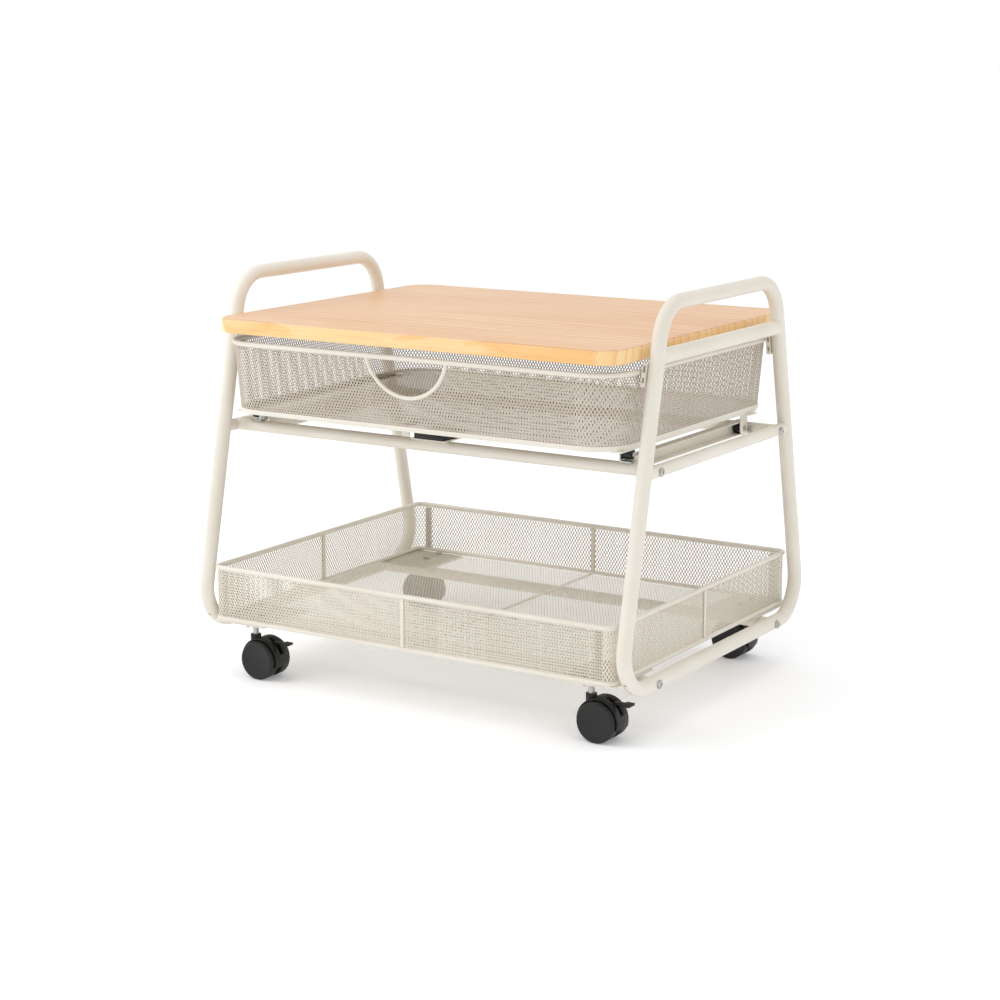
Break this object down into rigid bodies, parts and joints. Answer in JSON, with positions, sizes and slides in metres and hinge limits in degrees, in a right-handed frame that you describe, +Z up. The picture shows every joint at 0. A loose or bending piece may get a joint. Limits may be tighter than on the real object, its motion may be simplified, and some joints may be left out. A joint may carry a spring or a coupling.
{
  "type": "rolling_utility_cart",
  "caption": "Low rolling cart in cream coated steel tube with a pale wood top, a sliding mesh drawer and an open mesh tray, on black twin-wheel casters",
  "frame": {"origin": "on the floor, under the middle of the cart", "axes": "+X to the right along the long side, -Y to the front where the drawer opens, +Z up"},
  "size_m": [0.633, 0.477, 0.5161],
  "materials": {
    "cream_coat": "satin",
    "pine_board": "satin",
    "black_plastic": "matte",
    "zinc_steel": "satin"
  },
  "bodies": {
    "cart": {"left_hoop": "cream_coat", "right_hoop": "cream_coat", "left_top_rail": "cream_coat", "right_top_rail": "cream_coat", "left_mid_rail": "cream_coat", "right_mid_rail": "cream_coat", "front_mid_tube": "cream_coat", "back_mid_tube": "cream_coat", "front_base_tube": "cream_coat", "back_base_tube": "cream_coat", "side_bolts": "zinc_steel", "board_tabs": "cream_coat", "top_board": "pine_board", "board_screws": "zinc_steel", "rim_guides": "cream_coat", "left_slide_channel": "cream_coat", "right_slide_channel": "cream_coat", "slide_screws": "zinc_steel", "front_roller_brackets": "zinc_steel", "front_roller_pins": "zinc_steel", "catch_bracket": "cream_coat", "drawer_catch": "black_plastic", "caster_plates": "cream_coat", "caster_nuts": "zinc_steel", "caster_stems": "zinc_steel", "tray_rim": "cream_coat", "tray_base_ring": "cream_coat", "tray_walls": "cream_coat", "tray_floor": "cream_coat", "tray_strips": "cream_coat", "tray_screws": "zinc_steel"},
    "drawer": {"drawer_rim": "cream_coat", "drawer_walls": "cream_coat", "drawer_band": "cream_coat", "drawer_floor": "cream_coat", "drawer_handle": "cream_coat", "drawer_tracks": "cream_coat", "rear_roller_brackets": "cream_coat", "rear_roller_pins": "zinc_steel", "catch_strike": "cream_coat"},
    "left_front_roller_turn": {"left_front_roller": "black_plastic"},
    "right_front_roller_turn": {"right_front_roller": "black_plastic"},
    "left_rear_roller_turn": {"left_rear_roller": "black_plastic"},
    "right_rear_roller_turn": {"right_rear_roller": "black_plastic"},
    "fl_swivel": {"fl_caster_hood": "black_plastic"},
    "fl_wheel_pair": {"fl_caster_wheels": "black_plastic", "fl_caster_axle": "zinc_steel"},
    "fl_brake": {"fl_brake_lever": "black_plastic"},
    "fr_swivel": {"fr_caster_hood": "black_plastic"},
    "fr_wheel_pair": {"fr_caster_wheels": "black_plastic", "fr_caster_axle": "zinc_steel"},
    "fr_brake": {"fr_brake_lever": "black_plastic"},
    "bl_swivel": {"bl_caster_hood": "black_plastic"},
    "bl_wheel_pair": {"bl_caster_wheels": "black_plastic", "bl_caster_axle": "zinc_steel"},
    "br_swivel": {"br_caster_hood": "black_plastic"},
    "br_wheel_pair": {"br_caster_wheels": "black_plastic", "br_caster_axle": "zinc_steel"}
  },
  "joints": [
    {"name": "drawer_slide", "type": "slide", "parent": "cart", "child": "drawer", "axis": [0, -1, 0], "range_m": [0, 0.24]},
    {"name": "left_front_roller_hinge", "type": "hinge", "parent": "cart", "child": "left_front_roller_turn", "pos_m": [-0.2693, -0.16, 0.333], "axis": [1, 0, 0], "continuous": true},
    {"name": "left_rear_roller_hinge", "type": "hinge", "parent": "drawer", "child": "left_rear_roller_turn", "pos_m": [-0.2623, 0.138, 0.319], "axis": [1, 0, 0], "continuous": true},
    {"name": "right_front_roller_hinge", "type": "hinge", "parent": "cart", "child": "right_front_roller_turn", "pos_m": [0.2693, -0.16, 0.333], "axis": [1, 0, 0], "continuous": true},
    {"name": "right_rear_roller_hinge", "type": "hinge", "parent": "drawer", "child": "right_rear_roller_turn", "pos_m": [0.2623, 0.138, 0.319], "axis": [1, 0, 0], "continuous": true},
    {"name": "fl_caster_swivel", "type": "hinge", "parent": "cart", "child": "fl_swivel", "pos_m": [-0.2475, -0.2035, 0.05], "axis": [0, 0, 1], "continuous": true},
    {"name": "fl_wheel_spin", "type": "hinge", "parent": "fl_swivel", "child": "fl_wheel_pair", "pos_m": [-0.2325, -0.2035, 0.025], "axis": [0, 1, 0], "continuous": true},
    {"name": "fl_brake_hinge", "type": "hinge", "parent": "fl_swivel", "child": "fl_brake", "pos_m": [-0.2225, -0.2035, 0.039], "axis": [0, 1, 0], "range_deg": [0, 12]},
    {"name": "fr_caster_swivel", "type": "hinge", "parent": "cart", "child": "fr_swivel", "pos_m": [0.2475, -0.2035, 0.05], "axis": [0, 0, 1], "continuous": true},
    {"name": "fr_wheel_spin", "type": "hinge", "parent": "fr_swivel", "child": "fr_wheel_pair", "pos_m": [0.2625, -0.2035, 0.025], "axis": [0, 1, 0], "continuous": true},
    {"name": "fr_brake_hinge", "type": "hinge", "parent": "fr_swivel", "child": "fr_brake", "pos_m": [0.2725, -0.2035, 0.039], "axis": [0, 1, 0], "range_deg": [0, 12]},
    {"name": "bl_caster_swivel", "type": "hinge", "parent": "cart", "child": "bl_swivel", "pos_m": [-0.2475, 0.2035, 0.05], "axis": [0, 0, 1], "continuous": true},
    {"name": "bl_wheel_spin", "type": "hinge", "parent": "bl_swivel", "child": "bl_wheel_pair", "pos_m": [-0.2625, 0.2035, 0.025], "axis": [0, 1, 0], "continuous": true},
    {"name": "br_caster_swivel", "type": "hinge", "parent": "cart", "child": "br_swivel", "pos_m": [0.2475, 0.2035, 0.05], "axis": [0, 0, 1], "continuous": true},
    {"name": "br_wheel_spin", "type": "hinge", "parent": "br_swivel", "child": "br_wheel_pair", "pos_m": [0.2325, 0.2035, 0.025], "axis": [0, 1, 0], "continuous": true}
  ],
  "couplings": [
    {"joint": "left_front_roller_hinge", "follows": "drawer_slide", "rad_per_m": 166.67},
    {"joint": "left_rear_roller_hinge", "follows": "drawer_slide", "rad_per_m": 149.25},
    {"joint": "right_front_roller_hinge", "follows": "drawer_slide", "rad_per_m": 166.67},
    {"joint": "right_rear_roller_hinge", "follows": "drawer_slide", "rad_per_m": 149.25}
  ]
}
